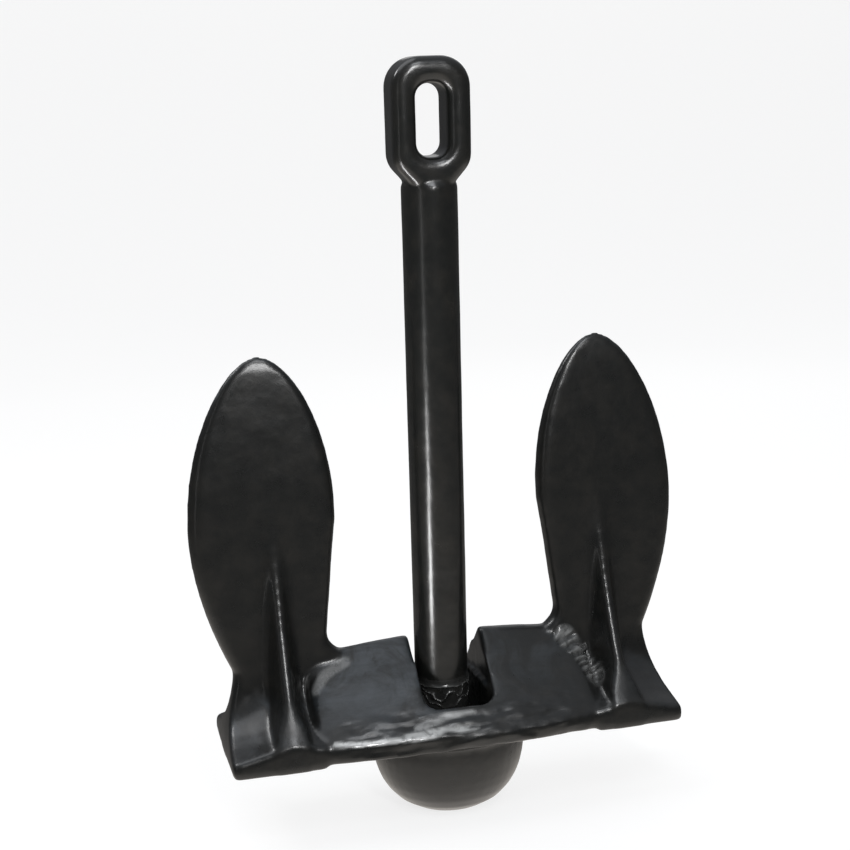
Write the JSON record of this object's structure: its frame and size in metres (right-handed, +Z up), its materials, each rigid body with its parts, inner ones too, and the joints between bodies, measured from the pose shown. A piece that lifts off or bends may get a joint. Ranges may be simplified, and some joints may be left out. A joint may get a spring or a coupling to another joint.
{
  "type": "stockless anchor",
  "caption": "Black dip-coated stockless boat anchor: twin upright flukes on a crown that swings about a round shank ending in a slotted shackle eye.",
  "frame": {"origin": "on the floor, under the middle of the head's flat foot", "axes": "+Z up along the flukes, +X across the pair of flukes, -Y towards the front, the side the shank leans to"},
  "size_m": [0.2326, 0.079, 0.3471],
  "materials": {
    "dip_coat": "satin",
    "pin_steel": "satin"
  },
  "bodies": {
    "head_body": {"head": "dip_coat", "crown_pin": "pin_steel"},
    "shank_body": {"shank": "dip_coat"}
  },
  "joints": [
    {"name": "shank_swing", "type": "hinge", "parent": "head_body", "child": "shank_body", "pos_m": [0, 0, 0.033], "axis": [1, 0, 0], "range_deg": [-35, 25.8]}
  ]
}
